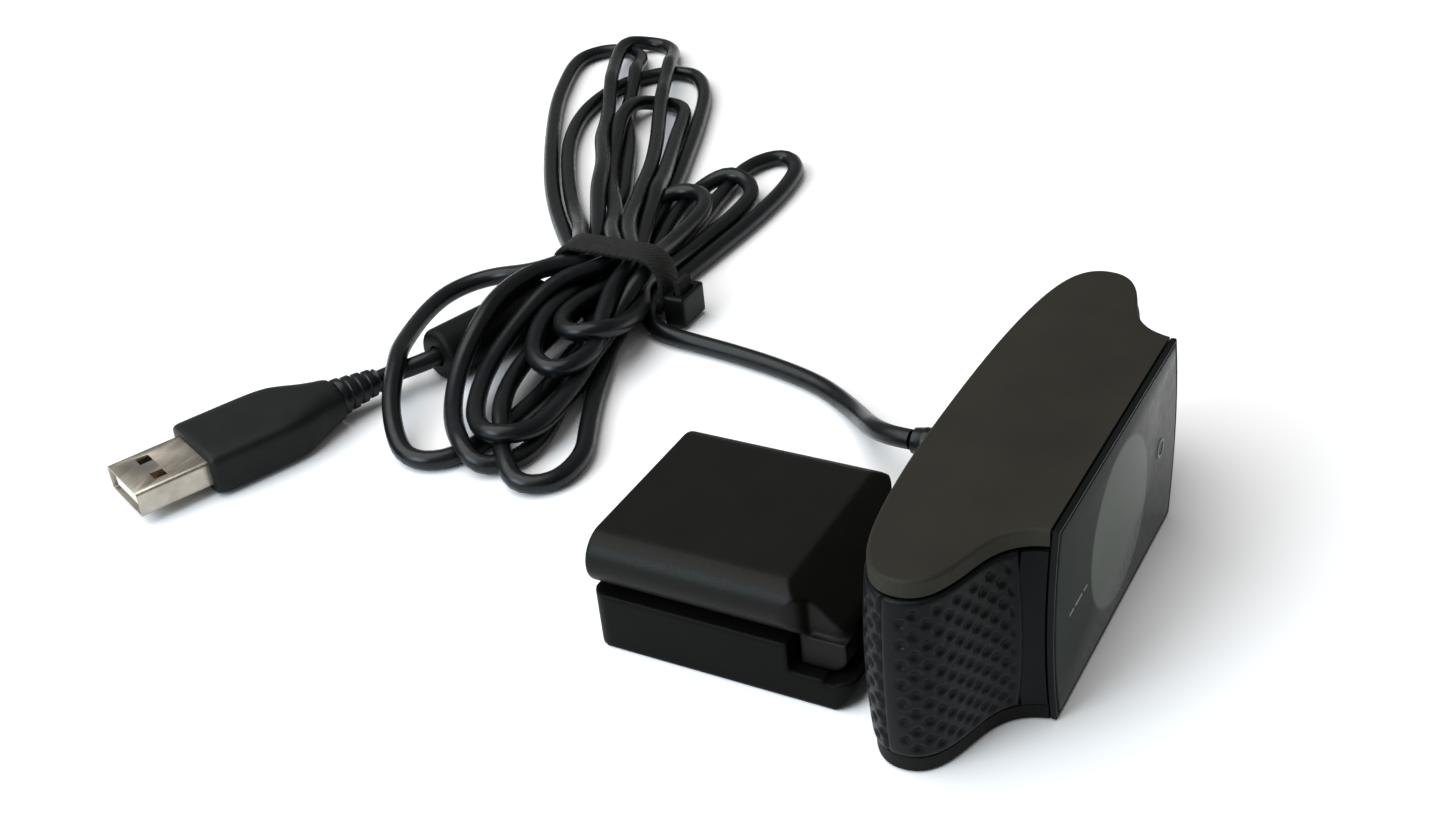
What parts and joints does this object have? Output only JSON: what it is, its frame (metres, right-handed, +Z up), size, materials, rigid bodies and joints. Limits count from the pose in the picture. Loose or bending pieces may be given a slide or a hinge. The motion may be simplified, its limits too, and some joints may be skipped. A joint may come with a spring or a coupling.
{
  "type": "monitor webcam",
  "caption": "Wide wrapped webcam head on a folded screen clip, with a tied hank of cable, a ferrite bead and a USB plug.",
  "frame": {"origin": "middle of the webcam's underside, without its loose cable: half way across the head and half way from the lens face to the back of the folded clip", "axes": "+X across the head to its right seen from behind, +Y from the lens face back towards the clip, +Z up; the lens looks along -Y"},
  "size_m": [0.2027, 0.1835, 0.03],
  "materials": {
    "cap": "fine matte texture, dark brown-grey",
    "band": "black leather-like wrap with rows of dimples",
    "black_plastic": "satin black",
    "clip_plastic": "fine spark texture, near black",
    "rubber": "matte",
    "smoked_glass": "polished dark grey-green",
    "eye": "even pale grey disc",
    "optics": "coated glass",
    "board": "green solder mask",
    "chip": "moulded black",
    "ivory_plastic": "moulded",
    "steel": "plated",
    "plug_steel": "warm grey nickel plate, lightly scratched",
    "gold": "gold plate",
    "cord": "smooth black jacket with a soft blue-grey sheen",
    "plug_plastic": "soft moulded overmould"
  },
  "bodies": {
    "head": {"board_post_left": "black_plastic", "board_post_right": "black_plastic", "board_screw_left": "steel", "board_screw_right": "steel", "bottom_cap": "cap", "cable_gland": "cord", "cable_header": "ivory_plastic", "cable_socket": "ivory_plastic", "chassis": "black_plastic", "clock_crystal": "steel", "cord_hank": "cord", "cord_lead": "cord", "cord_tail": "cord", "face_rim": "black_plastic", "ferrite_bead": "black_plastic", "front_glass": "smoked_glass", "front_housing": "black_plastic", "front_lens": "optics", "image_sensor": "chip", "infrared_filter": "optics", "lens_barrel": "black_plastic", "lens_holder": "black_plastic", "lens_surround": "eye", "main_board": "board", "memory_chip": "chip", "microphone_boot_left": "rubber", "microphone_boot_right": "rubber", "microphone_left": "steel", "microphone_right": "steel", "neck": "clip_plastic", "neck_screw_left": "steel", "neck_screw_right": "steel", "plug_contact_1": "gold", "plug_contact_2": "gold", "plug_contact_3": "gold", "plug_contact_4": "gold", "plug_overmould": "plug_plastic", "plug_relief": "cord", "plug_shell": "plug_steel", "plug_tongue": "ivory_plastic", "rear_lens": "optics", "status_led": "ivory_plastic", "tie_band": "rubber", "tie_buckle": "black_plastic", "tie_tail": "rubber", "top_cap": "cap", "video_processor": "chip", "wrap_band": "band"},
    "base": {"clip_base": "clip_plastic", "base_grip_pad": "rubber", "tilt_pin": "steel", "leg_pin": "steel"},
    "leg": {"clip_leg": "clip_plastic", "leg_grip_pad": "rubber"}
  },
  "joints": [
    {"name": "clip_tilt", "type": "hinge", "parent": "head", "child": "base", "pos_m": [-0.01725, -0.0057, 0.005], "axis": [1, 0, 0], "range_deg": [0, 25]},
    {"name": "leg_open", "type": "hinge", "parent": "base", "child": "leg", "pos_m": [-0.01725, 0.0311, 0.00915], "axis": [-1, 0, 0], "range_deg": [0, 140]}
  ]
}
